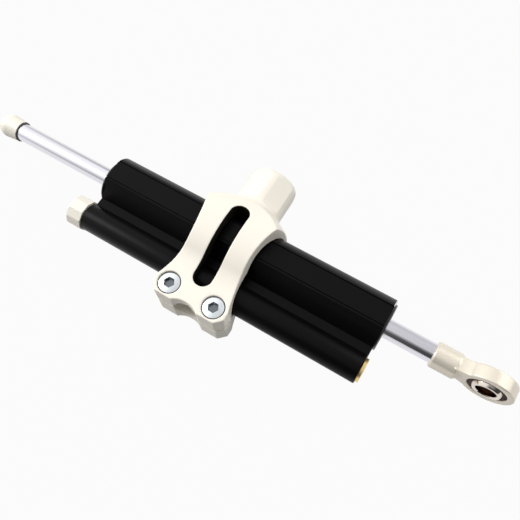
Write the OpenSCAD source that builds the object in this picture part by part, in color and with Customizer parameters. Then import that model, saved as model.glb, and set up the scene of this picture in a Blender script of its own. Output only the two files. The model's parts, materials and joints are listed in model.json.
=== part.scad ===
// Steering damper for a motorcycle: a through-rod hydraulic damper held in a split clamp.
// The rod runs along X with its rod end at +X, the clamp's mounting boss points along +Y,
// and +Z comes out of the clamp's front plate. The origin is the mouth of the boss's tapped hole.

/* [Body] */
// Length of the extruded body
body_length = 161; // [140:1:200]
// Distance from the clamp's middle to the body's middle, along the rod
body_offset = 5.5; // [-15:0.5:15]
// Outer diameter of the main tube
main_d = 28.8; // [28:0.2:34]
// Bore of the main tube
main_bore = 20; // [19:0.1:21]
// Distance between the two flat panels, front and back
panel_width = 24.8; // [24.4:0.1:26]
// Depth of the panels' lower edge below the rod
panel_drop = 5.2; // [4:0.1:6.5]
// Depth below the rod at which the sloping facets end
facet_drop = 12.4; // [12:0.1:13.5]
// Width left between the two facets where they end
facet_end_width = 6; // [5.2:0.1:8]
// Thickness of the web between the two tubes
web_thickness = 4.6; // [3.8:0.1:5]
// Distance between the axes of the two tubes
tube_spacing = 24.2; // [23.6:0.1:26]
// Outer diameter of the reservoir tube
reservoir_d = 15; // [14.6:0.1:16]
// Bore of the reservoir tube
reservoir_bore = 11.5; // [11:0.1:12]
// Width of the two fine grooves that border each panel
groove_width = 0.7; // [0.4:0.1:1]
// Depth of those grooves
groove_depth = 0.6; // [0.3:0.1:0.8]
// Height of the upper groove above the rod
groove_height = 6.7; // [5:0.1:7]
// Distance of the lower groove from the panel's lower edge
groove_inset = 1; // [0.8:0.1:1.5]
// Chamfer at the mouths of the bores
mouth_chamfer = 0.5; // [0.3:0.1:0.7]
// Chamfer around the body's ends
end_chamfer = 0.4; // [0.3:0.1:1]
// Bore of the two oil ports between the tubes
port_d = 3; // [2:0.1:3.5]

/* [Clamp] */
// Thickness of the clamp over its bulging front and back
clamp_depth = 43.2; // [42:0.2:48]
// Radius of the bulging front and back
bulge_r = 34.6; // [30:0.2:40]
// Height of the bulge's crest above the rod
bulge_height = 3; // [1:0.2:5]
// Thickness of the clamp at its lugs, front to back
lug_thickness = 24.5; // [24:0.5:28]
// Radius of the hollow between the bulge and the flat lugs
hollow_r = 20; // [14:1:26]
// Radius of the domed top around the boss
crown_r = 38.5; // [36:0.5:42]
// Depth of the dome's centre below the rod
crown_drop = 15; // [14:0.5:18]
// Width of the clamp at its waist
waist_width = 32.8; // [30:0.2:33.2]
// Radius of the waist's side curves
waist_r = 70; // [64:1:90]
// Depth of the waist below the rod
waist_drop = 12; // [10:0.5:14]
// Width of the long slot in the plates
slot_width = 10; // [7:0.2:11]
// Height of the slot's upper end above the rod
slot_top = 13.3; // [12:0.1:14]
// Depth of the slot's lower end below the rod
slot_drop = 31; // [28:0.2:31.6]
// Distance between the two bolts
bolt_spacing = 25.4; // [24:0.2:28]
// Depth of the bolts below the rod
bolt_drop = 36.7; // [36.4:0.1:40]
// Distance from a bolt's axis to the side of its lug
lug_r = 7.9; // [7.4:0.1:8.6]
// Depth of the lugs' flat foot below the bolts
lug_foot = 7; // [6.8:0.1:8]
// Corner cut from the lugs' foot at 45 degrees
lug_cut = 3.8; // [3:0.1:4.4]
// Radius of the arch between the lugs
arch_r = 12; // [10:0.5:14]
// Depth of the arch's crown below the rod
arch_drop = 41.2; // [40:0.2:43]
// Diameter of the hole in the arch, in front of the small tube
arch_hole_d = 15; // [10:0.5:15.5]
// Width of the split between the two halves of the lugs
split_gap = 1; // [0.6:0.1:1.6]

/* [Clamp boss] */
// Distance from the rod's axis to the boss's end
boss_end = 43.4; // [38:0.2:50]
// Width of the boss across its six flats
boss_flats = 24.9; // [24:0.1:25.4]
// Diameter of the boss over its rounded corners
boss_d = 27; // [26.4:0.1:28]
// Turn of the hexagon about the boss's axis, in degrees
boss_turn = 6.5; // [0:0.5:30]
// Length of the chamfer at the boss's end
boss_chamfer = 2.9; // [1:0.1:4]
// Angle between the chamfer and the boss's axis, in degrees
chamfer_angle = 30; // [20:1:45]
// Radius of the fillet where the boss meets the dome
flare_r = 4; // [3:0.5:5]
// Core diameter of the tapped mounting hole
tapped_d = 6.8; // [5:0.1:10.2]
// Depth of the tapped mounting hole
tapped_depth = 22; // [12:1:23]

/* [Clamp bolts] */
// Shank diameter of a clamp bolt
bolt_d = 6; // [5:0.5:6]
// Diameter of the button head
bolt_head_d = 10.5; // [9:0.1:11]
// Height of the button head
bolt_head_h = 3.3; // [3:0.1:3.6]
// Diameter of the counterbore around the head
counterbore_d = 11.8; // [11.4:0.1:12.4]
// Depth of the counterbore
counterbore_depth = 3.4; // [2.4:0.1:4]
// Width across the flats of the head's socket
socket_flats = 5; // [3:0.5:5]
// Depth of the head's socket
socket_depth = 2; // [1.4:0.1:2.2]
// Height of the straight rim of the head
bolt_rim = 2.5; // [1:0.1:2.8]
// Distance from a bolt's tip to the back of its lug
bolt_inset = 1; // [0.5:0.1:2]

/* [Rod and piston] */
// Diameter of the chromed rod
rod_d = 10; // [9.6:0.1:10.4]
// Length of the rod between its two shoulders
rod_length = 253.6; // [252:0.2:300]
// Place of the rod along its stroke, from the middle
rod_position = -20.7; // [-24:0.1:24]
// Diameter of the threaded ends of the rod
stud_d = 8; // [6:0.5:8.4]
// Length of the threaded ends of the rod
stud_length = 9.5; // [7:0.5:10]
// Length of the piston
piston_length = 12; // [10:0.5:14]
// Width of the piston's sliding band
band_width = 6; // [4:0.5:7]
// Thickness of the sliding band
band_thickness = 1.4; // [1:0.1:1.8]
// Diameter of the piston's bleed holes
bleed_d = 1.6; // [1:0.1:2]
// Thickness of the two snap rings that hold the piston
piston_clip_t = 1.2; // [0.8:0.1:1.5]
// Depth of their grooves in the rod
piston_clip_groove = 0.5; // [0.3:0.1:0.8]
// Height of the snap rings above the rod
piston_clip_height = 1.2; // [0.8:0.1:2]
// Opening of the snap rings
piston_clip_gap = 2.4; // [1.6:0.1:4]
// Opening of the sliding band
band_gap = 0.8; // [0.5:0.1:1.2]

/* [Seal heads] */
// Length of each seal head inside the body
head_length = 26; // [25:0.5:28]
// Diameter of the seal head's flange
flange_d = 24.6; // [22:0.2:24.8]
// Thickness of the flange
flange_t = 1; // [0.8:0.1:1.2]
// Chamfer around the flange
flange_edge = 0.4; // [0.2:0.1:0.6]
// Diameter of the holes for a pin spanner in the flange
pin_hole_d = 1.5; // [1:0.1:1.5]
// Depth of those holes
pin_hole_depth = 2.5; // [1.5:0.1:3]
// Outer diameter of the rod seals and wipers
seal_od = 16; // [15:0.1:16.4]
// Length of the rod seals
seal_length = 5; // [4:0.1:5.5]
// Length of the wipers
wiper_length = 4; // [3:0.1:4.5]
// Thickness of the wiper's lip at its tip
lip_tip = 0.5; // [0.3:0.1:0.8]
// Thickness of the wiper's lip at its root
lip_root = 1.4; // [1:0.1:2]
// Width of the land between wiper and rod seal
seal_land = 3; // [2:0.1:4]
// Wall of the guide bushes
bush_wall = 1.4; // [1:0.1:2]
// Length of the guide bushes
bush_length = 10; // [8:0.5:10.5]
// Section of the O-rings around the seal heads
head_oring_d = 1.4; // [1:0.1:1.6]
// Distance from the bush's start to that O-ring's groove
head_oring_inset = 2; // [1:0.5:4]

/* [Stop cap] */
// Largest diameter of the stop cap
cap_d = 13; // [12.4:0.1:15]
// Diameter of the cap at its rim
cap_rim_d = 11.5; // [11:0.1:12.4]
// Length of the stop cap
cap_length = 14.2; // [14:0.1:20]
// Thickness of the rubber bumper ring
bumper_t = 0.6; // [0.5:0.1:1]

/* [Rod end] */
// Diameter of the rod end's sleeve
sleeve_d = 13.2; // [12.6:0.1:14]
// Length of the sleeve
sleeve_length = 12; // [10.5:0.5:14]
// Chamfer at the sleeve's face
sleeve_edge = 0.6; // [0.3:0.1:1]
// Length of the taper from the sleeve to the neck
neck_taper = 4.4; // [3:0.2:6]
// Distance from the sleeve's face to the eye's centre
eye_distance = 28.2; // [27.6:0.1:34]
// Outer diameter of the eye
eye_d = 25.6; // [24:0.1:28]
// Thickness of the eye
eye_thickness = 7.4; // [7:0.1:8.6]
// Chamfer around the eye
eye_edge = 0.5; // [0.4:0.1:1]
// Chamfer around the bearing's seat in the eye
seat_edge = 0.4; // [0.2:0.1:0.6]
// Width of the neck beside the eye
neck_width = 12; // [10:0.5:12.5]
// Radius of the fillets between neck and eye
neck_r = 14; // [10:1:20]
// Outer diameter of the spherical bearing
bearing_od = 19; // [18.6:0.1:20]
// Width of the bearing's outer race
race_width = 6; // [5:0.1:6.6]
// Diameter of the bearing's ball
ball_d = 16; // [15.4:0.1:16.6]
// Width of the ball
ball_width = 9; // [8:0.1:10]
// Bore of the ball
ball_bore = 10; // [8:0.1:10.4]
// Chamfer at both mouths of the ball's bore
ball_edge = 0.5; // [0.3:0.1:0.8]

/* [Adjuster] */
// Diameter of the adjuster knob over its corners
knob_d = 16.6; // [15.4:0.1:18]
// Diameter of the circle that touches the knob's flats
knob_inner_d = 15.9; // [14.8:0.1:16.4]
// Number of flats on the knob
knob_flats = 10; // [8:1:12]
// Length of the knob
knob_length = 9.2; // [9:0.1:14]
// Chamfer at the knob's outer end
knob_chamfer = 1; // [0.5:0.1:1.5]
// Gap between the knob and the body's end face
knob_gap = 0.4; // [0.3:0.1:0.8]
// Thickness of the knob's end in front of the needle
knob_wall = 0.8; // [0.6:0.1:1.2]
// Diameter of the gland's spigot inside the knob
spigot_d = 6.8; // [6.4:0.1:7.2]
// Length of the spigot
spigot_length = 5; // [4.6:0.1:5.2]
// Thickness of the snap ring that keeps the knob on the spigot
knob_clip_t = 0.8; // [0.6:0.1:1]
// Distance from the spigot's end to that snap ring
knob_clip_inset = 1.2; // [1:0.1:2]
// Height of that snap ring, half of it in the spigot's groove
knob_clip_height = 1.2; // [0.8:0.1:1.4]
// Opening of that snap ring
knob_clip_gap = 1.6; // [1:0.1:2.4]
// Diameter of the needle's stem
needle_d = 4; // [3.6:0.1:4.4]
// Diameter of the needle's threaded head
needle_head_d = 5; // [4.6:0.1:5.4]
// Room for the needle's travel at each end of its head
needle_play = 1.1; // [1:0.1:1.3]
// Length of the needle's tapered tip
needle_taper = 4; // [3.6:0.1:5]
// Diameter of the needle's tip at its end
needle_tip_d = 1.6; // [1:0.1:1.8]
// Distance that the taper starts in front of the valve seat
needle_lead = 1; // [1:0.1:1.5]
// Length of the gland inside the reservoir tube
gland_length = 18; // [16:0.5:20]
// Distance from the gland's inner end to its outer O-ring's groove
gland_oring_inset = 5; // [3:0.5:6]
// Bore of the valve seat
seat_bore = 3; // [2.8:0.1:3.4]
// Diameter of the seat's conical mouth
seat_mouth_d = 5.4; // [5:0.1:6]
// Depth of the conical mouth
seat_cone = 2; // [1.6:0.1:2.4]
// Length of the valve seat
seat_length = 5; // [4:0.5:6]
// Distance from the body's left end to the valve seat
seat_depth = 31; // [30.5:0.5:34]
// Diameter of the detent ball
detent_d = 1.6; // [1.2:0.1:1.7]
// Depth of the pocket for the detent ball and its spring
detent_pocket = 4; // [3:0.5:6]
// Wall of the detent spring's tube
spring_wall = 0.35; // [0.25:0.05:0.4]
// Number of clicks in one turn of the knob
clicks = 16; // [8:1:20]

/* [Reservoir] */
// Length of the floating piston
float_length = 8; // [6:0.5:9]
// Distance from the body's right end to the floating piston
float_depth = 14; // [13:0.5:15]
// Depth of the cup in the floating piston's gas side
float_cup = 3; // [2:0.5:3]
// Wall of that cup
float_wall = 2; // [1.5:0.1:3]
// Length of the end plug inside the tube
plug_length = 8; // [7:0.1:8.4]
// Diameter of the plug's flange
plug_flange_d = 12.4; // [12:0.1:13]
// Thickness of the plug's flange
plug_flange_t = 1.4; // [0.8:0.1:1.8]
// Width across the flats of the plug's socket
plug_socket = 5; // [3:0.5:6]
// Depth of the plug's socket
plug_socket_depth = 3; // [2:0.1:4]
// Distance from the plug's inner end to its O-ring's groove
plug_oring_inset = 1.5; // [1:0.1:2]
// Section of the small O-rings in the reservoir tube
small_oring_d = 1.2; // [1:0.1:1.4]

/* [Clearances] */
// Radial clearance of the clamp around the main tube
grip_clearance = 0.08; // [0.05:0.01:0.1]
// Clearance of the clamp around the reservoir tube
tube_clearance = 0.6; // [0.4:0.1:0.8]
// Radial clearance of pieces that slide or turn in each other
running_clearance = 0.05; // [0.03:0.01:0.08]
// Clearance of pieces that are seated in each other
seat_clearance = 0.05; // [0.03:0.01:0.08]
// Clearance around the bolts' shanks in the front lugs
bolt_clearance = 0.3; // [0.2:0.05:0.4]
// Radial clearance of the seal heads around the rod
head_clearance = 0.2; // [0.1:0.05:0.3]
// Room beyond the ends of the rod's threads
thread_room = 0.5; // [0.3:0.1:1]
// Spare width of the O-ring grooves
oring_slack = 0.4; // [0.2:0.1:0.6]

/* [Hidden] */
$fn = 96;
// A cut runs this far past the face that it opens
past = 1;

// Radii that several pieces share
main_r = main_d / 2;
bore_r = main_bore / 2;
reservoir_r = reservoir_d / 2;
reservoir_bore_r = reservoir_bore / 2;
rod_r = rod_d / 2;
stud_r = stud_d / 2;
needle_r = needle_d / 2;
spigot_r = spigot_d / 2;
seal_r = seal_od / 2;

// Ends of the body, and the shoulders of the rod
body_left = body_offset - body_length / 2;
body_right = body_offset + body_length / 2;
piston_x = body_offset + rod_position;
rod_left = piston_x - rod_length / 2;
rod_right = piston_x + rod_length / 2;
eye_x = rod_right + eye_distance;

// Depth to which the neck's fillets run into the eye, past its chamfer
neck_bite = 1.2 * eye_edge;

// The clamp's outer faces and its cavity
bulge_z = bulge_r - clamp_depth / 2;
lug_half = lug_thickness / 2;
hollow_y = bulge_height - sqrt(pow(bulge_r + hollow_r, 2) - pow(bulge_z + lug_half + hollow_r, 2));
cavity_r = main_r + grip_clearance;
channel_half = reservoir_r + tube_clearance;
clamp_reach = bolt_drop + lug_foot;
boss_r = boss_d / 2;
flare_x = boss_r + flare_r;
flare_y = sqrt(pow(crown_r + flare_r, 2) - pow(flare_x, 2)) - crown_drop;

// Stations of the seal head, counted inwards from the body's end face
seal_start = wiper_length + seal_land;
bush_start = head_length - bush_length;
head_oring_start = bush_start + head_oring_inset;
head_oring_groove = head_oring_d + oring_slack;

// Stations of the adjuster, along the rod
knob_right = body_left - knob_gap;
knob_left = knob_right - knob_length;
spigot_end = body_left - spigot_length;
clip_x = spigot_end + knob_clip_inset;
clip_inner_r = spigot_r - knob_clip_height / 2;
clip_outer_r = spigot_r + knob_clip_height / 2;
pocket_x = knob_left + knob_wall;
needle_x = pocket_x + needle_play;
seat_x = body_left + seat_depth;
detent_r = detent_d / 2;
detent_orbit = (spigot_r + reservoir_bore_r) / 2;

// Grooves of the O-rings in the reservoir tube
small_groove = small_oring_d + oring_slack;
gland_groove_x = body_left + gland_length - gland_oring_inset;
needle_groove_x = body_left + gland_length / 2;
float_x = body_right - float_depth - float_length;
float_groove_x = float_x + (float_length - float_cup - small_groove) / 2;
plug_x = body_right - plug_length;
plug_groove_x = plug_x + plug_oring_inset;

// Helpers

// Frame: moves the damper from the rod's axis to the mouth of the boss's tapped hole
module placed() {
    translate([0, -boss_end, 0]) children();
}

// Extrudes a section drawn in Y and Z along the rod, from x
module along_rod(x, length) {
    translate([x, 0, 0]) rotate([90, 0, 90]) linear_extrude(length) children();
}

// Turns a profile of radius and length about the rod's axis, from x
module turned(x) {
    translate([x, 0, 0]) rotate([0, 90, 0]) rotate_extrude() children();
}

// A round bar along the rod
module bar(x, length, r) {
    translate([x, 0, 0]) rotate([0, 90, 0]) cylinder(h = length, r = r);
}

// A ring along the rod
module ring(x, length, inner, outer) {
    turned(x) translate([inner, 0]) square([outer - inner, length]);
}

// An O-ring around the rod's axis, with its middle at x
module oring(x, inner, section) {
    turned(x) translate([inner + section / 2, 0]) circle(d = section, $fn = 32);
}

// Carries a piece to the axis of the reservoir tube
module in_reservoir() {
    translate([0, -tube_spacing, 0]) children();
}

// Carries a piece to one end of the body, with X counted inwards from the end face
module at_end(side) {
    if (side == "left") translate([body_left, 0, 0]) children();
    else translate([body_right, 0, 0]) mirror([1, 0, 0]) children();
}

// A six-sided socket sunk along -Z from z
module hex_socket(flats, depth) {
    translate([0, 0, -depth]) cylinder(h = depth + past, d = flats / cos(30), $fn = 6);
}

// Body

// Outline of a tube along the body, in radius and length, with chamfers that run past both ends
module end_profile(r) {
    tip_r = r - end_chamfer - past;
    polygon([
        [0, -past], [tip_r, -past], [r, end_chamfer],
        [r, body_length - end_chamfer], [tip_r, body_length + past], [0, body_length + past]
    ]);
}

// Section between the flat sides of the main tube: the panels and the facets below them, in Y and Z
module flat_sides() {
    half = panel_width / 2;
    facet_half = facet_end_width / 2;
    polygon([
        [-facet_drop, -facet_half], [-panel_drop, -half], [main_d, -half],
        [main_d, half], [-panel_drop, half], [-facet_drop, facet_half]
    ]);
}

// The two tubes and the web, a little longer than the body
module long_bar() {
    long = body_length + 2 * past;
    intersection() {
        turned(body_left) end_profile(main_r);
        along_rod(body_left - past, long) flat_sides();
    }
    in_reservoir() turned(body_left) end_profile(reservoir_r);
    translate([body_left - past, -tube_spacing, -web_thickness / 2])
        cube([long, tube_spacing, web_thickness]);
}

// The body before its bores
module body_bar() {
    intersection() {
        long_bar();
        bar(body_left, body_length, main_d + tube_spacing);
    }
}

// The fine grooves that border the panels, in Y and Z
module panel_grooves() {
    for (side = [-1, 1], y = [groove_height, groove_inset - panel_drop])
        translate([y, side * panel_width / 2]) square([groove_width, 2 * groove_depth], center = true);
}

// A bore of the body with its chamfered mouths
module mouthed_bore(r) {
    bar(body_left - past, body_length + 2 * past, r);
    for (side = ["left", "right"]) at_end(side) turned(0)
        polygon([[0, 0], [r + mouth_chamfer, 0], [r, mouth_chamfer], [0, mouth_chamfer]]);
}

module oil_port(x) {
    translate([x, -tube_spacing, 0]) rotate([-90, 0, 0]) cylinder(h = tube_spacing, d = port_d);
}

module body() color("#1b1b1c") placed() difference() {
    body_bar();
    along_rod(body_left - past, body_length + 2 * past) panel_grooves();
    mouthed_bore(bore_r);
    in_reservoir() mouthed_bore(reservoir_bore_r);
    oil_port(body_left + head_length + port_d / 2);
    oil_port(body_right - head_length - port_d / 2);
}

// Clamp

// Outer section of the clamp across the rod, in Y and Z
module clamp_section() {
    touch = bulge_r / (bulge_r + hollow_r);
    touch_y = bulge_height + (hollow_y - bulge_height) * touch;
    touch_z = (lug_half + hollow_r + bulge_z) * touch - bulge_z;
    intersection_for (side = [-1, 1]) translate([bulge_height, -side * bulge_z]) circle(r = bulge_r);
    translate([-clamp_reach, -lug_half]) square([clamp_reach, lug_thickness]);
    for (side = [-1, 1]) difference() {
        polygon([[hollow_y, 0], [hollow_y, side * lug_half], [touch_y, side * touch_z], [touch_y, 0]]);
        translate([hollow_y, side * (lug_half + hollow_r)]) circle(r = hollow_r);
    }
}

// Space inside the clamp for the body, and the split between the lugs
module clamp_cavity() {
    circle(r = cavity_r);
    translate([-tube_spacing, -channel_half]) square([tube_spacing, 2 * channel_half]);
    translate([-tube_spacing, 0]) circle(r = channel_half);
    translate([-clamp_reach - past, -split_gap / 2]) square([clamp_reach, split_gap]);
}

// Outline of the clamp as its front shows it, in X and Y
module clamp_outline() {
    side_x = waist_width / 2 + waist_r;
    lug_x = bolt_spacing / 2 + lug_r;
    lug_top = lug_r - bolt_drop;
    cut_end = lug_x - lug_cut - past;
    difference() {
        translate([-side_x, -clamp_reach]) square([2 * side_x, clamp_reach + boss_end]);
        for (side = [-1, 1]) translate([side * side_x, -waist_drop]) circle(r = waist_r, $fn = 180);
        for (side = [-1, 1]) polygon([
            [side * lug_x, lug_top], [side * lug_x, lug_cut - clamp_reach], [side * cut_end, -clamp_reach - past],
            [side * waist_r, -clamp_reach - past], [side * waist_r, lug_top]
        ]);
        translate([0, -arch_drop - arch_r]) circle(r = arch_r);
    }
}

// The hexagonal boss with rounded corners and a chamfered end
module clamp_boss() {
    rotate([-90, 0, 0]) intersection() {
        rotate_extrude() polygon([
            [0, 0], [boss_r, 0], [boss_r, boss_end - boss_chamfer],
            [boss_r - boss_chamfer * tan(chamfer_angle), boss_end], [0, boss_end]
        ]);
        rotate([0, 0, 30 + boss_turn]) cylinder(h = boss_end, d = boss_flats / cos(30), $fn = 6);
    }
}

// The fillet between the boss and the dome
module boss_fillet() {
    touch = crown_r / (crown_r + flare_r);
    rotate([-90, 0, 0]) rotate_extrude() difference() {
        polygon([
            [0, 0], [flare_x * touch, 0], [flare_x * touch, (flare_y + crown_drop) * touch - crown_drop],
            [boss_r, flare_y], [0, flare_y]
        ]);
        translate([flare_x, flare_y]) circle(r = flare_r);
    }
}

// The long slot in the plates, in X and Y
module slot_outline() {
    end_r = slot_width / 2;
    for (y = [slot_top - end_r, end_r - slot_drop]) translate([0, y]) circle(r = end_r);
    translate([-end_r, end_r - slot_drop]) square([slot_width, slot_top + slot_drop - slot_width]);
}

// A clamp bolt's place, at the front face of its lug
module at_bolts() {
    for (side = [-1, 1]) translate([side * bolt_spacing / 2, -bolt_drop, lug_half]) children();
}

module clamp() color("#d9d5cc") placed() difference() {
    union() {
        intersection() {
            along_rod(-waist_r, 2 * waist_r) clamp_section();
            translate([0, 0, -clamp_depth]) linear_extrude(2 * clamp_depth) clamp_outline();
            translate([0, -crown_drop, 0]) sphere(r = crown_r, $fn = 180);
        }
        clamp_boss();
        boss_fillet();
    }
    along_rod(-waist_r, 2 * waist_r) clamp_cavity();
    translate([0, 0, -clamp_depth]) linear_extrude(2 * clamp_depth) slot_outline();
    translate([0, boss_end - tapped_depth, 0]) rotate([-90, 0, 0])
        cylinder(h = tapped_depth + past, d = tapped_d);
    translate([0, -clamp_reach - past, 0]) rotate([-90, 0, 0])
        cylinder(h = clamp_reach + past - tube_spacing, d = arch_hole_d);
    at_bolts() {
        translate([0, 0, -counterbore_depth]) cylinder(h = counterbore_depth + past, d = counterbore_d);
        translate([0, 0, -lug_half]) cylinder(h = lug_half, d = bolt_d + 2 * bolt_clearance);
        translate([0, 0, -lug_thickness - past])
            cylinder(h = lug_thickness, d = bolt_d + 2 * seat_clearance);
    }
}

// One button-head bolt, with its head's underside at the bottom of the counterbore
module button_bolt() {
    shank = lug_thickness - counterbore_depth - bolt_inset;
    dome_h = bolt_head_h - bolt_rim;
    dome_r = (pow(bolt_head_d / 2, 2) + pow(dome_h, 2)) / (2 * dome_h);
    difference() {
        union() {
            translate([0, 0, -counterbore_depth - shank]) cylinder(h = shank + past, d = bolt_d);
            translate([0, 0, -counterbore_depth]) rotate_extrude() intersection() {
                square([bolt_head_d / 2, bolt_head_h]);
                translate([0, bolt_head_h - dome_r]) circle(r = dome_r);
            }
        }
        translate([0, 0, bolt_head_h - counterbore_depth]) hex_socket(socket_flats, socket_depth);
    }
}

module clamp_bolts() color("#c9ced2") placed() at_bolts() button_bolt();

// Seal heads

// Seal head screwed into the body, with a flange and four holes for a pin spanner
module seal_head(side) color("#1d1d1f") placed() at_end(side) difference() {
    outer = bore_r - seat_clearance;
    bush_r = rod_r + running_clearance + bush_wall + seat_clearance;
    pocket_r = seal_r + seat_clearance;
    flange_r = flange_d / 2;
    inner = rod_r + head_clearance;
    turned(0) difference() {
        polygon([
            [inner, -flange_t], [flange_r - flange_edge, -flange_t], [flange_r, flange_edge - flange_t],
            [flange_r, 0], [outer, 0], [outer, head_length], [inner, head_length]
        ]);
        translate([0, -flange_t - past])
            square([pocket_r, wiper_length + flange_t + past + seat_clearance]);
        translate([0, seal_start - seat_clearance]) square([pocket_r, seal_length + 2 * seat_clearance]);
        translate([0, bush_start - seat_clearance]) square([bush_r, bush_length + seat_clearance + past]);
        translate([outer - head_oring_d, head_oring_start])
            square([head_oring_d + past, head_oring_groove]);
    }
    for (turn = [0 : 90 : 270]) rotate([turn, 0, 0]) translate([0, (pocket_r + outer) / 2, 0])
        bar(-flange_t - past, pin_hole_depth + past, pin_hole_d / 2);
}

module guide_bush(side) color("#b08d57") placed() at_end(side)
    ring(bush_start, bush_length, rod_r + running_clearance, rod_r + running_clearance + bush_wall);

// Rod seal with its lip open to the oil
module rod_seal(side) color("#2c2c2e") placed() at_end(side) turned(seal_start) difference() {
    inner = rod_r + running_clearance;
    translate([inner, 0]) square([seal_r - inner, seal_length]);
    translate([(inner + seal_r) / 2, seal_length]) circle(d = (seal_r - inner) / 2, $fn = 32);
}

// Wiper with a lip that stands out towards the end of the body
module wiper(side) color("#252527") placed() at_end(side) turned(0) union() {
    inner = rod_r + running_clearance;
    translate([inner, 0]) square([seal_r - inner, wiper_length]);
    polygon([
        [inner, wiper_length], [inner, -flange_t], [inner + lip_tip, -flange_t],
        [inner + lip_root, 0], [inner + lip_root, wiper_length]
    ]);
}

module head_oring(side) color("#1f1f20") placed() at_end(side)
    oring(head_oring_start + head_oring_groove / 2, bore_r - seat_clearance / 2 - head_oring_d,
        head_oring_d);

// Rod and piston

// Place of the two snap rings beside the piston, counted from the piston's middle
module at_piston_clips() {
    for (x = [-piston_length / 2 - piston_clip_t, piston_length / 2])
        translate([piston_x + x, 0, 0]) children();
}

module rod() color("#c8cad0") placed() difference() {
    union() {
        bar(rod_left, rod_length, rod_r);
        bar(rod_left - stud_length, rod_length + 2 * stud_length, stud_r);
    }
    at_piston_clips() ring(0, piston_clip_t, rod_r - piston_clip_groove, rod_r + past);
}

module piston() color("#a9acb0") placed() difference() {
    outer = bore_r - 4 * running_clearance;
    ring(piston_x - piston_length / 2, piston_length, rod_r + seat_clearance, outer);
    ring(piston_x - band_width / 2 - running_clearance, band_width + 2 * running_clearance,
        bore_r - 2 * running_clearance - band_thickness, bore_r + past);
    for (turn = [0 : 90 : 270])
        rotate([turn, 0, 0]) translate([0, (rod_r + bore_r - band_thickness) / 2, 0])
            bar(piston_x - piston_length, 2 * piston_length, bleed_d / 2);
}

// Split sliding band in the piston's groove
module piston_band() color("#3d3a36") placed() difference() {
    outer = bore_r - running_clearance;
    ring(piston_x - band_width / 2, band_width, outer - band_thickness, outer);
    translate([piston_x - band_width, 0, -band_gap / 2]) cube([2 * band_width, bore_r, band_gap]);
}

// Two open snap rings in the rod's grooves
module piston_clips() color("#6f7276") placed() at_piston_clips() difference() {
    ring(0, piston_clip_t, rod_r - piston_clip_groove, rod_r + piston_clip_height);
    translate([-past, 0, -piston_clip_gap / 2]) cube([piston_clip_t + 2 * past, bore_r, piston_clip_gap]);
}

// Bullet-shaped cap on the rod's left end
module stop_cap() color("#d6d3ca") placed() turned(rod_left - cap_length) difference() {
    dome_r = cap_d / 2;
    union() {
        polygon([[0, dome_r], [dome_r, dome_r], [cap_rim_d / 2, cap_length], [0, cap_length]]);
        intersection() {
            translate([0, dome_r]) circle(r = dome_r);
            square([dome_r, cap_length]);
        }
    }
    translate([0, cap_length - stud_length - thread_room])
        square([stud_r + seat_clearance, stud_length + thread_room + past]);
}

module bumper_ring() color("#222222") placed()
    ring(rod_left, bumper_t, rod_r + seat_clearance, cap_rim_d / 2);

// Rod end

// Outline of the eye and its neck, in X and Z from the eye's centre
module eye_outline() {
    eye_r = eye_d / 2 - neck_bite;
    neck_half = neck_width / 2;
    fillet_x = -sqrt(pow(eye_r + neck_r, 2) - pow(neck_half + neck_r, 2));
    touch = eye_r / (eye_r + neck_r);
    start = sleeve_length - eye_distance;
    translate([start, -neck_half]) square([-start, neck_width]);
    for (side = [-1, 1]) difference() {
        polygon([
            [fillet_x, 0], [fillet_x, side * neck_half],
            [fillet_x * touch, side * (neck_half + neck_r) * touch], [fillet_x * touch, 0]
        ]);
        translate([fillet_x, side * (neck_half + neck_r)]) circle(r = neck_r);
    }
}

// The eye's ring with its edges chamfered
module eye_ring() {
    eye_r = eye_d / 2;
    half = eye_thickness / 2;
    rotate([-90, 0, 0]) rotate_extrude() polygon([
        [0, -half], [eye_r - eye_edge, -half], [eye_r, eye_edge - half],
        [eye_r, half - eye_edge], [eye_r - eye_edge, half], [0, half]
    ]);
}

module rod_end() color("#d9d6cc") placed() difference() {
    sleeve_r = sleeve_d / 2;
    seat_r = bearing_od / 2;
    union() {
        turned(rod_right) polygon([
            [0, 0], [sleeve_r - sleeve_edge, 0], [sleeve_r, sleeve_edge], [sleeve_r, sleeve_length],
            [eye_thickness / 2, sleeve_length + neck_taper], [0, sleeve_length + neck_taper]
        ]);
        translate([eye_x, 0, 0]) {
            rotate([90, 0, 0]) linear_extrude(eye_thickness, center = true) eye_outline();
            eye_ring();
        }
    }
    translate([eye_x, 0, 0]) rotate([-90, 0, 0]) {
        cylinder(h = 2 * eye_thickness, r = seat_r, center = true);
        edge_cones(eye_thickness, seat_r, seat_edge);
    }
    bar(rod_right - past, stud_length + thread_room + past, stud_r + seat_clearance);
}

// Cones that chamfer both mouths of a hole through a plate of this thickness
module edge_cones(thickness, r, edge) {
    for (flip = [0, 1]) mirror([0, 0, flip]) translate([0, 0, thickness / 2 - edge])
        cylinder(h = 2 * edge, r1 = r, r2 = r + 2 * edge);
}

// Outer race with its spherical inside
module bearing_race() color("#9a9da2") placed() translate([eye_x, 0, 0]) rotate([-90, 0, 0]) difference() {
    cylinder(h = race_width, r = bearing_od / 2, center = true);
    sphere(r = ball_d / 2 + running_clearance);
}

module bearing_ball() color("#d3d6da") placed() translate([eye_x, 0, 0]) rotate([-90, 0, 0]) difference() {
    intersection() {
        sphere(r = ball_d / 2);
        cylinder(h = ball_width, r = ball_d, center = true);
    }
    cylinder(h = 2 * ball_width, r = ball_bore / 2, center = true);
    edge_cones(ball_width, ball_bore / 2, ball_edge);
}

// Adjuster

// A dimple for the detent ball under each click of the knob
module click_dimples() {
    for (click = [1 : clicks]) rotate([click * 360 / clicks, 0, 0])
        translate([knob_right + detent_r / 2, detent_orbit, 0]) sphere(r = detent_r, $fn = 24);
}

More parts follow.
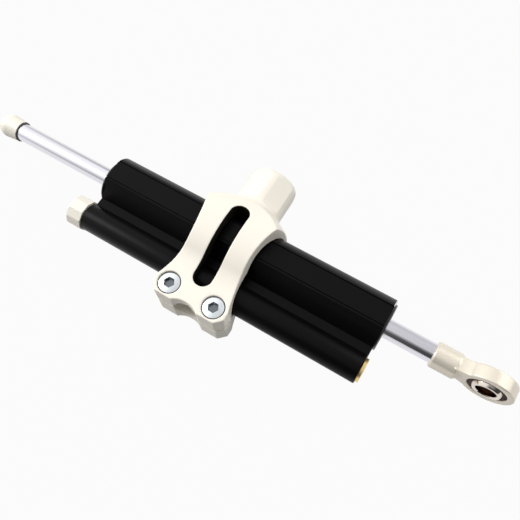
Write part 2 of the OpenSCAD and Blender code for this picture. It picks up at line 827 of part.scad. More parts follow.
module adjuster_knob() color("#dcd9cf") placed() in_reservoir() difference() {
    intersection() {
        turned(knob_left) polygon([
            [0, 0], [knob_d / 2 - knob_chamfer, 0], [knob_d / 2, knob_chamfer],
            [knob_d / 2, knob_length], [0, knob_length]
        ]);
        along_rod(knob_left, knob_length) rotate(90 - 180 / knob_flats)
            circle(d = knob_inner_d / cos(180 / knob_flats), $fn = knob_flats);
    }
    bar(spigot_end - running_clearance, knob_right - spigot_end + past, spigot_r + running_clearance);
    bar(pocket_x, knob_length, needle_head_d / 2 + running_clearance);
    ring(clip_x - seat_clearance, knob_clip_t + 2 * seat_clearance, 0, clip_outer_r + seat_clearance);
    click_dimples();
}

// Open snap ring that keeps the knob on the gland's spigot
module knob_clip() color("#6f7276") placed() in_reservoir() difference() {
    ring(clip_x, knob_clip_t, clip_inner_r, clip_outer_r);
    translate([clip_x - past, 0, -knob_clip_gap / 2])
        cube([knob_clip_t + 2 * past, spigot_d, knob_clip_gap]);
}

module adjuster_gland() color("#b9a26a") placed() in_reservoir() difference() {
    outer = reservoir_bore_r - seat_clearance;
    union() {
        bar(spigot_end, spigot_length + past, spigot_r);
        bar(body_left, gland_length, outer);
    }
    bar(spigot_end - past, gland_length + spigot_length + 2 * past, needle_r + running_clearance);
    ring(clip_x - seat_clearance, knob_clip_t + 2 * seat_clearance,
        clip_inner_r - seat_clearance, spigot_r + past);
    ring(gland_groove_x, small_groove, outer - small_oring_d, outer + past);
    ring(needle_groove_x, small_groove, 0, needle_r + small_oring_d + 2 * running_clearance);
    translate([0, detent_orbit, 0])
        bar(body_left - past, detent_pocket + past, detent_r + running_clearance);
}

// An O-ring of the reservoir tube, in a groove that starts at x
module small_oring(x, inner) color("#1f1f20") placed() in_reservoir()
    oring(x + small_groove / 2, inner, small_oring_d);

module gland_oring() small_oring(gland_groove_x, reservoir_bore_r - seat_clearance / 2 - small_oring_d);

module needle_oring() small_oring(needle_groove_x, needle_r + running_clearance);

// Needle with a threaded head in the knob and a tapered tip in the valve seat
module needle_valve() color("#c2c5ca") placed() in_reservoir() {
    taper_x = seat_x - needle_lead;
    bar(needle_x, spigot_end - needle_play - needle_x, needle_head_d / 2);
    bar(needle_x, taper_x - needle_x, needle_r);
    turned(taper_x) polygon([[0, 0], [needle_r, 0], [needle_tip_d / 2, needle_taper], [0, needle_taper]]);
}

module detent_ball() color("#c2c5ca") placed() in_reservoir()
    translate([knob_right + detent_r + running_clearance, detent_orbit, 0]) sphere(r = detent_r);

module detent_spring() color("#8d9095") placed() in_reservoir() translate([0, detent_orbit, 0]) {
    start = knob_right + detent_d + running_clearance;
    outer = detent_r - seat_clearance;
    ring(start, body_left + detent_pocket - start, outer - spring_wall, outer);
}

module valve_seat() color("#b08d57") placed() in_reservoir() difference() {
    bar(seat_x, seat_length, reservoir_bore_r - seat_clearance);
    bar(seat_x - past, seat_length + 2 * past, seat_bore / 2);
    turned(seat_x) polygon([[0, 0], [seat_mouth_d / 2, 0], [seat_bore / 2, seat_cone], [0, seat_cone]]);
}

// Reservoir

module floating_piston() color("#9a9da2") placed() in_reservoir() difference() {
    outer = reservoir_bore_r - running_clearance;
    bar(float_x, float_length, outer);
    ring(float_groove_x, small_groove, outer - small_oring_d, outer + past);
    bar(float_x + float_length - float_cup, float_cup + past, outer - float_wall);
}

module floating_oring() small_oring(float_groove_x, reservoir_bore_r - running_clearance - small_oring_d);

// Plug screwed into the reservoir tube, with a thin flange on the end face
module reservoir_plug() color("#d9a441") placed() in_reservoir() difference() {
    outer = reservoir_bore_r - seat_clearance;
    union() {
        bar(plug_x, plug_length, outer);
        bar(body_right, plug_flange_t, plug_flange_d / 2);
    }
    ring(plug_groove_x, small_groove, outer - small_oring_d, outer + past);
    translate([body_right + plug_flange_t, 0, 0]) rotate([0, 90, 0])
        hex_socket(plug_socket, plug_socket_depth);
}

module plug_oring() small_oring(plug_groove_x, reservoir_bore_r - seat_clearance / 2 - small_oring_d);

clamp();
clamp_bolts();
body();
seal_head("left");  // left_seal_head
seal_head("right");  // right_seal_head
guide_bush("left");  // left_guide_bush
guide_bush("right");  // right_guide_bush
rod_seal("left");  // left_rod_seal
rod_seal("right");  // right_rod_seal
wiper("left");  // left_wiper
wiper("right");  // right_wiper
head_oring("left");  // left_head_oring
head_oring("right");  // right_head_oring
rod();
piston();
piston_band();
piston_clips();
stop_cap();
bumper_ring();
rod_end();
bearing_race();
bearing_ball();
adjuster_knob();
knob_clip();
adjuster_gland();
gland_oring();
needle_valve();
needle_oring();
detent_ball();
detent_spring();
valve_seat();
floating_piston();
floating_oring();
reservoir_plug();
plug_oring();
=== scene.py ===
import json
import math

import bpy
from bpy.props import FloatProperty, FloatVectorProperty, IntProperty, PointerProperty
from bpy.types import Node, NodeSocket, Operator, Panel, PropertyGroup
from mathutils import Euler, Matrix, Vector


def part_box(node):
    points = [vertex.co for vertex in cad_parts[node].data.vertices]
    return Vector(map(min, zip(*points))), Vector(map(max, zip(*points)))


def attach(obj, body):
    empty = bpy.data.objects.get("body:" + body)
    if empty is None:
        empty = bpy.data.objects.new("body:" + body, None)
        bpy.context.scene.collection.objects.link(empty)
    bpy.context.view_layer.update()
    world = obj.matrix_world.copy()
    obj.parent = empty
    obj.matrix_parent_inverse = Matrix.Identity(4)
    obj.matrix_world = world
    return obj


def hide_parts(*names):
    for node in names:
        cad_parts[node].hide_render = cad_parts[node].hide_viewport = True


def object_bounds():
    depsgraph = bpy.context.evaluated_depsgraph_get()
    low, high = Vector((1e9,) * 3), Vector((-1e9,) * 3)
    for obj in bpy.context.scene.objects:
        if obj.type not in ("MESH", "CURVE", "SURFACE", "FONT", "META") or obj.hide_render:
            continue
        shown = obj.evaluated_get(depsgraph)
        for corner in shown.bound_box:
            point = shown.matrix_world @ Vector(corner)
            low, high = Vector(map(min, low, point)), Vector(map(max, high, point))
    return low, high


bl_info = {
    "name": "Steering damper",
    "version": (1, 0, 0),
    "blender": (4, 5, 0),
    "location": "3D View > Sidebar > Damper",
    "description": "Gives the pieces of a motorcycle steering damper their finishes and sets up its studio",
    "category": "Object",
}

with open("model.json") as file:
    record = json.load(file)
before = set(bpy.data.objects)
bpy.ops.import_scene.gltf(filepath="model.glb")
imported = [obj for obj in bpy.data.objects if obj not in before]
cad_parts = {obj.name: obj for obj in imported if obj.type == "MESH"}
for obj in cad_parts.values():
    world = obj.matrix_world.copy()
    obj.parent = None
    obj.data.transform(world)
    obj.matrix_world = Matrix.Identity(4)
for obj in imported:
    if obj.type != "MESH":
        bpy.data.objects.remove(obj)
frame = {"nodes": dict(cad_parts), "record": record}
NODES = frame["nodes"]
CAD_BOX = [list(corner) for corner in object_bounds()]
MM = 0.001
SENSOR_MM = 36.0
WHITE = (1.0, 1.0, 1.0, 1.0)

# Values between which nearly all of a noise lies, and those between which the rod's dull streaks come in.
NOISE_LOW, NOISE_HIGH = 0.3, 0.7
STREAK_LOW, STREAK_HIGH = 0.52, 0.66

# How many times longer than wide a tool's marks are.
DIE_STRETCH, POLISH_STRETCH, TURNING_STRETCH = 120, 150, 40

# Parts of a face's normal along an axis, which tell how the face is turned.
LEVEL, UPRIGHT = 0.8, 0.4
BOLT_WALL = 0.5
CUT_END = 0.3

# Parts of a unit vector that points at the surroundings, between which their light changes.
LEFT_TO_SIDES = (0.6, 0.92)
FRONT_TO_BACK = (-0.78, -0.2)
RIGHT_TO_FAR_RIGHT = (0.2, 0.8)
LEFT_TO_RIGHT = (-0.45, 0.1)


def linear(hex_colour):
    """Turns an sRGB hex colour into linear red, green, blue and alpha."""
    srgb = [int(hex_colour[start:start + 2], 16) / 255 for start in (1, 3, 5)]
    return tuple(c / 12.92 if c <= 0.04045 else ((c + 0.055) / 1.055) ** 2.4 for c in srgb) + (1.0,)


def colour(name, hex_colour, description):
    """A colour that the user may change, with its default as an sRGB hex value."""
    return FloatVectorProperty(
        name=name, description=description, subtype="COLOR", size=4, min=0.0, max=1.0,
        default=linear(hex_colour)
    )


def length(name, millimetres, description):
    """A length that the user may change, with its default in millimetres."""
    return FloatProperty(
        name=name, description=description, unit="LENGTH", precision=5, default=millimetres * MM
    )


def place(name, millimetres, description):
    """A place that the user may change, with its default in millimetres from the boss's mouth."""
    return FloatVectorProperty(
        name=name, description=description, subtype="TRANSLATION", unit="LENGTH",
        default=tuple(part * MM for part in millimetres)
    )


def share(name, default, description):
    """A share of a whole that the user may change."""
    return FloatProperty(
        name=name, description=description, subtype="FACTOR", min=0.0, max=1.0, default=default
    )


def light(name, default, description, unit="NONE"):
    """The strength or the power of a light that the user may change."""
    return FloatProperty(name=name, description=description, unit=unit, min=0.0, default=default)


class DamperColours(PropertyGroup):
    """Colours of the finishes"""
    blasted: colour("Blasted aluminium", "#faf4e7", "Clamp, knob and stop cap")
    # Painted shade: the slot's upright walls take this dark colour in place of their shade.
    slot: colour("Slot walls", "#1d1a12", "Walls of the clamp's slot")
    satin: colour("Satin aluminium", "#e9e0d0", "Rod end")
    body: colour("Black anodising", "#0c0a0b", "Body and seal heads")
    bare: colour("Bare aluminium", "#d9d9da", "Cut ends of the body, and the pistons")
    chrome: colour("Hard chrome", "#e3e2e9", "Rod")
    zinc: colour("Zinc plate", "#f0f6fa", "Clamp bolts")
    # Painted shade: the bolts' upright walls and the inside of their sockets take this dark colour, at this
    # share inside the sockets.
    socket: colour("Socket", "#39424a", "Walls of the bolts' sockets and heads")
    socket_share: share("Socket share", 0.85, "Share of the socket's colour inside the bolts' sockets")
    ball: colour("Polished steel", "#d8d0c6", "Bearing ball and detent ball")
    # Painted shade: dark brown inside the bearing's bore, in place of its shade.
    bore: colour("Painted bore shade", "#6b5446", "Bore of the bearing ball")
    # Painted shade: the recessed bearing race is given this dark colour.
    race: colour("Race painted shade", "#3b2d1f", "Bearing race")
    needle: colour("Ground steel", "#9b9c9f", "Needle")
    gold: colour("Gold anodising", "#efd08f", "Reservoir plug")
    bronze: colour("Bronze", "#b3874e", "Guide bushes, valve seat and gland")
    blued: colour("Blued steel", "#4a4d55", "Snap rings and detent spring")
    rubber: colour("Rubber", "#191919", "Seals and O-rings")
    bumper: colour("Bumper", "#55524d", "Bumper ring under the stop cap")
    band: colour("Filled plastic", "#4a443c", "Piston band")


class DamperSizes(PropertyGroup):
    """Sizes of the patterns, the masks and the rounded edges"""
    # Dimples, lines and moulded grain are drawn coarser than real ones, so that they show in the render.
    bead: length("Bead dimple", 0.2, "Width of a dimple that the blasting leaves")
    die_line: length("Die line", 0.5, "Width of the drawing lines along the body")
    polish: length("Polishing line", 0.8, "Width of the polishing lines along the rod")
    turning: length("Turning line", 0.35, "Width of the tool's lines on turned pieces")
    mould_grain: length("Moulded grain", 0.3, "Width of the grain on rubber and plastic")
    patch: length("Tone patch", 14.0, "Width of the faint patches in the blasted tone")
    stain: length("Stain", 1.6, "Width of the small stains on plated and polished pieces")
    # Painted shade inside the bolts' sockets reaches out to this radius and starts at this depth.
    socket_r: length("Socket", 2.5, "Distance from a bolt's axis to the corners of its socket")
    socket_lip: length("Socket lip", 0.6, "Depth below a bolt head's top at which its socket turns dark")
    # Painted shade: the bore's dark colour reaches this far outside the bore.
    bore_lip: length("Bore lip", 0.1, "How far outside the bearing's bore its oil reaches")
    # Bounds of the painted shade on the slot's walls.
    slot_top: length("Slot top", -29.7, "Place across the clamp of the slot's upper end")
    slot_foot: length("Slot foot", -74.8, "Place across the clamp of the slot's lower end")
    slot_half: length("Slot half", 5.4, "Half the slot's width, with its rounded edges")
    bare_above: length("Bare end", -60.0, "Place across the body beyond which its ends were cut bare")
    edge: length("Edge", 0.2, "Width of the bevel on the body's and the knob's edges")
    clamp_step: length("Clamp step", 0.3, "Mesh step of the clamp's rounded copy")
    eye_step: length("Eye step", 0.24, "Mesh step of the rod end's rounded copy")
    soft_passes: IntProperty(
        name="Edge passes", description="Smoothing passes that round the copies' edges", min=0, default=8
    )


class DamperStudio(PropertyGroup):
    """Camera, floor, lamps and surroundings"""
    camera_place: place("Camera place", (91.7, -150.3, 290.0), "Where the camera stands")
    camera_turn: FloatVectorProperty(
        name="Camera turn", description="How the camera is turned", subtype="EULER", unit="ROTATION",
        default=tuple(math.radians(angle) for angle in (24.24, 1.84, 31.26))
    )
    lens: FloatProperty(name="Lens", description="Focal length of the camera", unit="CAMERA", default=43.3)
    floor_size: length("Floor", 4000.0, "Width of the floor")
    floor_tone: colour("Floor tone", "#6c6c6c", "Tone of the light that the floor throws on the damper")
    background_share: share("White share", 0.96, "Share of plain white in the floor that the camera sees")
    left: light("Left", 1.2, "Light from the left, above the damper")
    left_sides: light("Left, sides", 0.45, "Light from the left, towards the front and the back")
    back: light("Back", 0.72, "Light from above and behind")
    front: light("Front", 0.06, "Light from the dark front")
    far_right: share("Far right", 0.12, "Share of the light that is left on the far right")
    key: light("Key lamp", 2.7, "Power of the main lamp", unit="POWER")
    key_place: place("Key place", (-640.0, -180.0, 520.0), "Where the main lamp stands")
    key_size: length("Key size", 420.0, "Width of the main lamp")
    fill: light("Fill lamp", 3.0, "Power of the second lamp", unit="POWER")
    fill_place: place("Fill place", (550.0, 350.0, 400.0), "Where the second lamp stands")
    fill_size: length("Fill size", 700.0, "Width of the second lamp")


def add(tree, kind, inputs=None, **settings):
    """Adds a shader node. An input is a value, a socket, or a node whose first open output is taken."""
    made = tree.nodes.new("ShaderNode" + kind)
    for name, value in settings.items():
        setattr(made, name, value)
    for key, value in (inputs or {}).items():
        if isinstance(value, Node):
            value = next(output for output in value.outputs if output.enabled)
        if isinstance(value, NodeSocket):
            tree.links.new(value, made.inputs[key])
        else:
            made.inputs[key].default_value = value
    return made


def new_material(name):
    """A material with an empty node tree. Returns both."""
    material = bpy.data.materials.new(name)
    material.use_nodes = True
    material.node_tree.nodes.clear()
    return material, material.node_tree


def surface(tree, inputs):
    """Ends a material's tree with a shader that has these inputs."""
    shader = add(tree, "BsdfPrincipled", inputs)
    add(tree, "OutputMaterial", {"Surface": shader})


def coordinates(tree, kind):
    """X, Y and Z of one of the texture coordinates."""
    return add(tree, "SeparateXYZ", {"Vector": add(tree, "TexCoord").outputs[kind]}).outputs


def axis_distance(tree, spot, centre, across):
    """Distance of a spot from an axis through a centre. Directions across the axis have a 1."""
    out = add(tree, "VectorMath", {0: spot, 1: centre}, operation="SUBTRACT")
    flat = add(tree, "VectorMath", {0: out, 1: across}, operation="MULTIPLY")
    return add(tree, "VectorMath", {0: flat}, operation="LENGTH")


def grain(tree, size, stretch=(1, 1, 1), detail=2.0):
    """Noise of this real size on the object, drawn out along an axis by its stretch."""
    spot = add(tree, "TexCoord").outputs["Object"]
    scale = [1 / (size * factor) for factor in stretch]
    mapped = add(tree, "Mapping", {"Vector": spot, "Scale": scale})
    return add(tree, "TexNoise", {"Vector": mapped, "Scale": 1.0, "Detail": detail})


def tool_marks(tree, marks, roughness, depth=0.0, strength=0.0):
    """Inputs of a shader that show a noise as tool marks: a range of roughness, and relief of some depth."""
    low, high = roughness
    spread = {"Value": marks, "From Min": NOISE_LOW, "From Max": NOISE_HIGH, "To Min": low, "To Max": high}
    inputs = {"Roughness": add(tree, "MapRange", spread)}
    if depth:
        inputs["Normal"] = add(tree, "Bump", {"Height": marks, "Distance": depth, "Strength": strength})
    return inputs


def stained(tree, roughness):
    """Inputs of a plated or polished metal: a clear mirror image, broken a little by small stains."""
    stains = grain(tree, bpy.context.scene.damper_sizes.stain, detail=4.0)
    return {"Metallic": 1.0, **tool_marks(tree, stains, roughness)}


def darker(base, amount):
    """A colour with this share of its brightness."""
    return [amount * part for part in base[:3]] + [1.0]


def painted_slot_shade(tree, sizes):
    """Mask of the upright walls in the clamp's slot, where shade is painted: they face the black body and
    are drawn dark.
    """
    spot = coordinates(tree, "Object")
    tilt = add(tree, "Math", {0: coordinates(tree, "Normal")["Z"]}, operation="ABSOLUTE")
    mask = add(tree, "MapRange", {"Value": tilt, "From Min": LEVEL, "From Max": UPRIGHT})
    limits = (
        (add(tree, "Math", {0: spot["X"]}, operation="ABSOLUTE"), "LESS_THAN", sizes.slot_half),
        (spot["Y"], "LESS_THAN", sizes.slot_top),
        (spot["Y"], "GREATER_THAN", sizes.slot_foot),
    )
    for value, test, limit in limits:
        within = add(tree, "Math", {0: value, 1: limit}, operation=test)
        mask = add(tree, "Math", {0: mask, 1: within}, operation="MULTIPLY")
    return mask


def bead_blasted_aluminium():
    """Clear-anodised aluminium, bead-blasted first: a pale, faintly warm sheen with no sharp mirror image.

    The blasted film scatters most of the light, so the metal shows only a little.
    """
    colours, sizes = bpy.context.scene.damper_colours, bpy.context.scene.damper_sizes
    material, tree = new_material("bead_blasted_anodised_aluminium")
    worn = darker(colours.blasted, amount=0.96)
    patches = {"Factor": grain(tree, sizes.patch), "A": colours.blasted, "B": worn}
    tone = add(tree, "Mix", patches, data_type="RGBA")
    # Painted shade: the slot's upright walls get the dark slot colour instead of the blasted tone.
    walls = painted_slot_shade(tree, sizes)
    base = add(tree, "Mix", {"Factor": walls, "A": tone, "B": colours.slot}, data_type="RGBA")
    dimples = tool_marks(tree, grain(tree, sizes.bead), (0.42, 0.54), depth=0.008 * MM, strength=0.3)
    surface(tree, {"Metallic": 0.1, "Base Color": base, **dimples})
    return material


def satin_aluminium():
    """Turned aluminium, fine-blasted and clear anodised: a soft metal sheen with light and dark bands.

    Its film is finer than that of the blasted pieces, so more of the metal shows.
    """
    scene = bpy.context.scene
    material, tree = new_material("satin_anodised_aluminium")
    dimples = tool_marks(tree, grain(tree, scene.damper_sizes.bead), (0.32, 0.34))
    surface(tree, {"Metallic": 0.4, "Base Color": scene.damper_colours.satin, **dimples})
    return material


def black_anodised_extrusion():
    """Extruded aluminium, black anodised, with bare cut ends: deep gloss black with soft long lines."""
    colours, sizes = bpy.context.scene.damper_colours, bpy.context.scene.damper_sizes
    material, tree = new_material("black_anodised_extrusion")
    along = add(tree, "Math", {0: coordinates(tree, "Normal")["X"]}, operation="ABSOLUTE")
    ends = add(tree, "Math", {0: along, 1: CUT_END}, operation="GREATER_THAN")
    spot = coordinates(tree, "Object")["Y"]
    large = add(tree, "Math", {0: spot, 1: sizes.bare_above}, operation="GREATER_THAN")
    bare = add(tree, "Math", {0: ends, 1: large}, operation="MULTIPLY")
    base = add(tree, "Mix", {"Factor": bare, "A": colours.body, "B": colours.bare}, data_type="RGBA")
    lines = grain(tree, sizes.die_line, stretch=(DIE_STRETCH, 1, 1))
    marks = tool_marks(tree, lines, (0.28, 0.34), depth=0.001 * MM, strength=0.3)
    surface(tree, {"Specular IOR Level": 0.09, "Metallic": bare, "Base Color": base, **marks})
    return material


def turned_metal(name, base, roughness, metallic=1.0, axis="X", specular=0.5):
    """A piece turned or ground on a lathe: fine rings around its axis that draw the highlights out."""
    material, tree = new_material(name)
    stretch = [1 if letter == axis else TURNING_STRETCH for letter in "XYZ"]
    rings = grain(tree, bpy.context.scene.damper_sizes.turning, stretch=stretch)
    marks = tool_marks(tree, rings, roughness, depth=0.004 * MM, strength=0.4)
    surface(tree, {"Metallic": metallic, "Base Color": base, "Specular IOR Level": specular, **marks})
    return material


def hard_chrome():
    """Chromed steel, polished along its length: a bright mirror that draws the room out into long bands."""
    scene = bpy.context.scene
    chrome = scene.damper_colours.chrome
    material, tree = new_material("polished_hard_chrome")
    lines = grain(tree, scene.damper_sizes.polish, stretch=(POLISH_STRETCH, 1, 1), detail=4.0)
    streaks = add(tree, "MapRange", {"Value": lines, "From Min": STREAK_LOW, "From Max": STREAK_HIGH})
    dull = darker(chrome, amount=0.8)
    base = add(tree, "Mix", {"Factor": streaks, "A": chrome, "B": dull}, data_type="RGBA")
    surface(tree, {"Metallic": 1.0, "Base Color": base, **tool_marks(tree, lines, (0.11, 0.14))})
    return material


def zinc_plated_steel():
    """Bright zinc plate on the bolts, with painted shade: dark on upright walls and inside the sockets."""
    colours, sizes = bpy.context.scene.damper_colours, bpy.context.scene.damper_sizes
    material, tree = new_material("zinc_plated_steel")
    # Painted shade: upright walls, and the inside of the sockets below their lip, take the dark socket
    # colour.
    facing = coordinates(tree, "Normal")["Z"]
    walls = add(tree, "Math", {0: facing, 1: BOLT_WALL}, operation="LESS_THAN")
    low, high = (Vector(corner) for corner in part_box("clamp_bolts"))
    head_r = (high.y - low.y) / 2
    # The bolts stand at like places left and right of the origin, so without signs they are one bolt.
    centre = (high.x - head_r, -(low.y + high.y) / 2, 0.0)
    spot = add(tree, "TexCoord").outputs["Object"]
    folded = add(tree, "VectorMath", {0: spot}, operation="ABSOLUTE")
    radius = axis_distance(tree, folded, centre, across=(1.0, 1.0, 0.0))
    socket = add(tree, "Math", {0: radius, 1: sizes.socket_r}, operation="LESS_THAN")
    height = add(tree, "SeparateXYZ", {"Vector": folded}).outputs["Z"]
    sunk = add(tree, "Math", {0: height, 1: high.z - sizes.socket_lip}, operation="LESS_THAN")
    inside = add(tree, "Math", {0: socket, 1: sunk}, operation="MULTIPLY")
    socket_shade = add(tree, "Math", {0: inside, 1: colours.socket_share}, operation="MULTIPLY")
    dark = add(tree, "Math", {0: walls, 1: socket_shade}, operation="MAXIMUM")
    base = add(tree, "Mix", {"Factor": dark, "A": colours.zinc, "B": colours.socket}, data_type="RGBA")
    surface(tree, {"Base Color": base, **stained(tree, (0.18, 0.32))})
    return material


def bearing_steel():
    """Polished ball of the bearing: bright outside, and painted dark brown within its bore for the shade
    there.
    """
    colours, sizes = bpy.context.scene.damper_colours, bpy.context.scene.damper_sizes
    material, tree = new_material("polished_bearing_steel")
    low, high = (Vector(corner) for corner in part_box("bearing_ball"))
    mount = next(m for m in frame["record"]["mounts"] if m["name"] == "rod_end_bore")
    # Painted shade: the bore, and a thin lip outside it, take a dark brown colour.
    shaded_r = mount["dims"]["r_mm"] * MM + sizes.bore_lip
    spot = add(tree, "TexCoord").outputs["Object"]
    radius = axis_distance(tree, spot, (low + high) / 2, across=(1.0, 0.0, 1.0))
    bore = add(tree, "Math", {0: radius, 1: shaded_r}, operation="LESS_THAN")
    base = add(tree, "Mix", {"Factor": bore, "A": colours.ball, "B": colours.bore}, data_type="RGBA")
    surface(tree, {"Base Color": base, **stained(tree, (0.08, 0.16))})
    return material


def blued_spring_steel():
    """Spring steel, blued by heat: dark blue-grey, half glossy."""
    material, tree = new_material("blued_spring_steel")
    surface(tree, {"Base Color": bpy.context.scene.damper_colours.blued, **stained(tree, (0.25, 0.4))})
    return material


def moulded(name, base, roughness):
    """Moulded rubber or plastic: dull, with a fine even grain."""
    material, tree = new_material(name)
    height = grain(tree, bpy.context.scene.damper_sizes.mould_grain)
    bump = add(tree, "Bump", {"Height": height, "Distance": 0.02 * MM, "Strength": 0.5})
    surface(tree, {"Base Color": base, "Roughness": roughness, "Normal": bump})
    return material


def finish(material, *names):
    """Gives the solids of these names one material."""
    for name in names:
        slots = NODES[name].data.materials
        slots.clear()
        slots.append(material)


def bevel_edges(name, width):
    """Breaks the sharp edges of a solid, which then catch the light as thin lines."""
    weld = NODES[name].modifiers.new("join faces", "WELD")
    weld.merge_threshold = 0.001 * MM
    bevel = NODES[name].modifiers.new("break edges", "BEVEL")
    bevel.width = width
    bevel.segments = 2
    bevel.limit_method = "ANGLE"
    bevel.angle_limit = math.radians(25)
    bevel.harden_normals = True


def rounded_copy(name, node, step, passes, material, body):
    """A copy of a solid with rounded edges, which stands for it."""
    copy = bpy.data.objects.new(name, NODES[node].data.copy())
    bpy.context.scene.collection.objects.link(copy)
    remesh = copy.modifiers.new("even mesh", "REMESH")
    remesh.mode = "VOXEL"
    remesh.voxel_size = step
    smooth = copy.modifiers.new("round edges", "SMOOTH")
    smooth.factor = 0.5
    smooth.iterations = passes
    view = bpy.context.evaluated_depsgraph_get()
    mesh = bpy.data.meshes.new_from_object(copy.evaluated_get(view))
    copy.modifiers.clear()
    copy.data = mesh
    mesh.shade_smooth()
    mesh.materials.clear()
    mesh.materials.append(material)
    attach(copy, body)
    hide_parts(node)


class DAMPER_OT_silver(Operator):
    """Makes the clamp, the knob and the stop cap of blasted aluminium, and the rod end of satin aluminium"""
    bl_idname = "damper.silver"
    bl_label = "Silver pieces"

    def execute(self, context):
        sizes = context.scene.damper_sizes
        blasted, satin = bead_blasted_aluminium(), satin_aluminium()
        rounded_copy("clamp_casting", "clamp", sizes.clamp_step, sizes.soft_passes, blasted, "clamp")
        rounded_copy("rod_end_forging", "rod_end", sizes.eye_step, sizes.soft_passes, satin, "rod")
        finish(blasted, "adjuster_knob", "stop_cap")
        bevel_edges("adjuster_knob", sizes.edge)
        return {"FINISHED"}


class DAMPER_OT_body(Operator):
    """Finishes the black body and its two seal heads"""
    bl_idname = "damper.body"
    bl_label = "Body and seal heads"

    def execute(self, context):
        scene = context.scene
        finish(black_anodised_extrusion(), "body")
        bevel_edges("body", scene.damper_sizes.edge)
        # Turned before it was anodised: a black gloss with fine rings, and no bare metal.
        black = turned_metal("black_anodised_turning", scene.damper_colours.body, (0.25, 0.35), metallic=0.0)
        finish(black, "left_seal_head", "right_seal_head")
        return {"FINISHED"}


class DAMPER_OT_rod(Operator):
    """Finishes the chromed rod"""
    bl_idname = "damper.rod"
    bl_label = "Rod"

    def execute(self, context):
        finish(hard_chrome(), "rod")
        return {"FINISHED"}


class DAMPER_OT_bolts(Operator):
    """Finishes the two clamp bolts"""
    bl_idname = "damper.bolts"
    bl_label = "Clamp bolts"

    def execute(self, context):
        finish(zinc_plated_steel(), "clamp_bolts")
        return {"FINISHED"}


class DAMPER_OT_bearing(Operator):
    """Finishes the spherical bearing's ball and race, and the detent ball"""
    bl_idname = "damper.bearing"
    bl_label = "Bearing"

    def execute(self, context):
        finish(bearing_steel(), "bearing_ball", "detent_ball")
        # Painted shade: the recessed race is given a dark colour and almost no gloss, so it shows neither
        # metal nor a highlight.
        race = turned_metal(
            "ground_steel_painted_shade", context.scene.damper_colours.race, (0.25, 0.4),
            metallic=0.0, axis="Y", specular=0.03
        )
        finish(race, "bearing_race")
        return {"FINISHED"}


class DAMPER_OT_inside(Operator):
    """Finishes the plug, the seals, the bushes, the pistons, the needle and the other inner pieces"""
    bl_idname = "damper.inside"
    bl_label = "Inner pieces"

    def execute(self, context):
        colours = context.scene.damper_colours
        # Turned and dyed gold: a warm metal gloss with bright rings.
        finish(turned_metal("gold_anodised_aluminium", colours.gold, (0.25, 0.4)), "reservoir_plug")
        # Turned and oiled: brown and softly bright.
        bronze = turned_metal("turned_bronze", colours.bronze, (0.3, 0.45))
        finish(bronze, "left_guide_bush", "right_guide_bush", "valve_seat", "adjuster_gland")
        # Turned and left bare: pale grey with bright rings.
        finish(turned_metal("turned_aluminium", colours.bare, (0.25, 0.4)), "piston", "floating_piston")
        # Ground: grey, and smoother than the turned pieces.
        finish(turned_metal("ground_needle_steel", colours.needle, (0.15, 0.3)), "needle_valve")
        finish(blued_spring_steel(), "piston_clips", "knob_clip", "detent_spring")
        # Rubber is nearly black and dull, the two plastics are dark and a little smoother.
        seals = [name for name in NODES if name.endswith(("_rod_seal", "_wiper", "_oring"))]
        finish(moulded("moulded_rubber", colours.rubber, roughness=0.6), *seals)
        finish(moulded("moulded_polyurethane", colours.bumper, roughness=0.5), "bumper_ring")
        finish(moulded("filled_sliding_plastic", colours.band, roughness=0.5), "piston_band")
        return {"FINISHED"}


def pale_floor(studio):
    """A matt floor, mid-grey in the light that it throws back, nearly white to the camera and mirror images.

    The part of it that isn't plain white keeps the shadow.
    """
    material, tree = new_material("pale_floor")
    ray = add(tree, "LightPath").outputs
    seen = ray["Is Camera Ray"]
    for other in ("Is Glossy Ray", "Is Transmission Ray"):
        seen = add(tree, "Math", {0: seen, 1: ray[other]}, operation="MAXIMUM")
    amount = add(tree, "Math", {0: seen, 1: studio.background_share}, operation="MULTIPLY")
    matt = add(tree, "BsdfDiffuse", {"Color": studio.floor_tone})
    white = add(tree, "Emission", {"Strength": 1.0})
    mixed = add(tree, "MixShader", {0: amount, 1: matt, 2: white})
    add(tree, "OutputMaterial", {"Surface": mixed})
    return material


def lay_floor(studio, height):
    """Lays the floor at this height."""
    half = studio.floor_size / 2
    mesh = bpy.data.meshes.new("floor")
    corners = [(x * half, y * half, height) for x, y in ((-1, -1), (1, -1), (1, 1), (-1, 1))]
    mesh.from_pydata(corners, [], [(0, 1, 2, 3)])
    mesh.materials.append(pale_floor(studio))
    floor = bpy.data.objects.new("floor", mesh)
    bpy.context.scene.collection.objects.link(floor)


def area_lamp(name, stand, target, size, power):
    """A flat soft lamp that faces a point."""
    data = bpy.data.lights.new(name, "AREA")
    data.size = size
    data.energy = power
    lamp = bpy.data.objects.new(name, data)
    lamp.location = stand
    lamp.rotation_euler = (Vector(target) - Vector(stand)).to_track_quat("-Z", "Y").to_euler()
    bpy.context.scene.collection.objects.link(lamp)


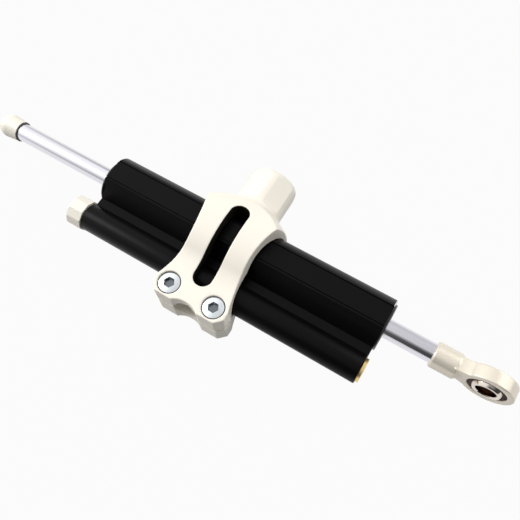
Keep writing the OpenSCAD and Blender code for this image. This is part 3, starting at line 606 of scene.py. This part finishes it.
def surroundings(studio):
    """Soft light from all round, bright on the left and dark in front and on the far right.

    The camera sees it as plain white.
    """
    world = bpy.data.worlds.new("surroundings")
    world.use_nodes = True
    tree = world.node_tree
    tree.nodes.clear()
    towards = coordinates(tree, "Generated")
    aside = add(tree, "Math", {0: towards["Y"]}, operation="ABSOLUTE")
    changes = (
        (aside, LEFT_TO_SIDES, studio.left, studio.left_sides),
        (towards["Y"], FRONT_TO_BACK, studio.front, studio.back),
        (towards["X"], RIGHT_TO_FAR_RIGHT, 1.0, studio.far_right),
        (towards["X"], LEFT_TO_RIGHT, 0.0, 1.0),
    )
    levels = []
    for way, (start, end), first, last in changes:
        change = {"Value": way, "From Min": start, "From Max": end, "To Min": first, "To Max": last}
        levels.append(add(tree, "MapRange", change, interpolation_type="SMOOTHSTEP"))
    left, lit, faded, mix = levels
    right = add(tree, "Math", {0: lit, 1: faded}, operation="MULTIPLY")
    level = add(tree, "Mix", {"Factor": mix, "A": left, "B": right}, data_type="FLOAT")
    soft = add(tree, "Background", {"Color": WHITE, "Strength": level})
    white = add(tree, "Background", {"Color": WHITE, "Strength": 1.0})
    camera_ray = add(tree, "LightPath").outputs["Is Camera Ray"]
    mixed = add(tree, "MixShader", {0: camera_ray, 1: soft, 2: white})
    add(tree, "OutputWorld", {"Surface": mixed})
    return world


def set_camera(studio):
    """Puts the camera at the photograph's viewing angle."""
    scene = bpy.context.scene
    data = bpy.data.cameras.new("camera")
    data.lens = studio.lens
    data.sensor_width = SENSOR_MM
    data.clip_start = 10 * MM
    camera = bpy.data.objects.new("camera", data)
    camera.location = studio.camera_place
    camera.rotation_euler = Euler(studio.camera_turn, "XYZ")
    scene.collection.objects.link(camera)
    scene.camera = camera


class DAMPER_OT_stage(Operator):
    """Sets up the floor, the lamps, the surroundings and the camera"""
    bl_idname = "damper.stage"
    bl_label = "Studio"

    def execute(self, context):
        studio = context.scene.damper_studio
        lowest, highest = (Vector(corner) for corner in CAD_BOX)
        middle = (lowest + highest) / 2
        lay_floor(studio, lowest.z)
        area_lamp("key", studio.key_place, middle, studio.key_size, studio.key)
        area_lamp("fill", studio.fill_place, middle, studio.fill_size, studio.fill)
        context.scene.world = surroundings(studio)
        set_camera(studio)
        context.scene.view_settings.view_transform = "Standard"
        return {"FINISHED"}


MAKERS = (
    DAMPER_OT_stage, DAMPER_OT_silver, DAMPER_OT_body, DAMPER_OT_rod, DAMPER_OT_bolts, DAMPER_OT_bearing,
    DAMPER_OT_inside,
)
GROUPS = {"damper_colours": DamperColours, "damper_sizes": DamperSizes, "damper_studio": DamperStudio}


class DAMPER_PT_sidebar(Panel):
    """The damper's pieces and settings"""
    bl_idname = "DAMPER_PT_sidebar"
    bl_label = "Steering damper"
    bl_space_type = "VIEW_3D"
    bl_region_type = "UI"
    bl_category = "Damper"

    def draw(self, context):
        for maker in MAKERS:
            self.layout.operator(maker.bl_idname)
        for group, kind in GROUPS.items():
            box = self.layout.box()
            for name in kind.__annotations__:
                box.prop(getattr(context.scene, group), name)


CLASSES = (*GROUPS.values(), *MAKERS, DAMPER_PT_sidebar)


def register():
    for kind in CLASSES:
        bpy.utils.register_class(kind)
    for name, kind in GROUPS.items():
        setattr(bpy.types.Scene, name, PointerProperty(type=kind))


def unregister():
    for name in GROUPS:
        delattr(bpy.types.Scene, name)
    for kind in reversed(CLASSES):
        bpy.utils.unregister_class(kind)


def main():
    register()
    bpy.ops.damper.stage()
    bpy.ops.damper.silver()
    bpy.ops.damper.body()
    bpy.ops.damper.rod()
    bpy.ops.damper.bolts()
    bpy.ops.damper.bearing()
    bpy.ops.damper.inside()


if __name__ == "__main__":
    main()
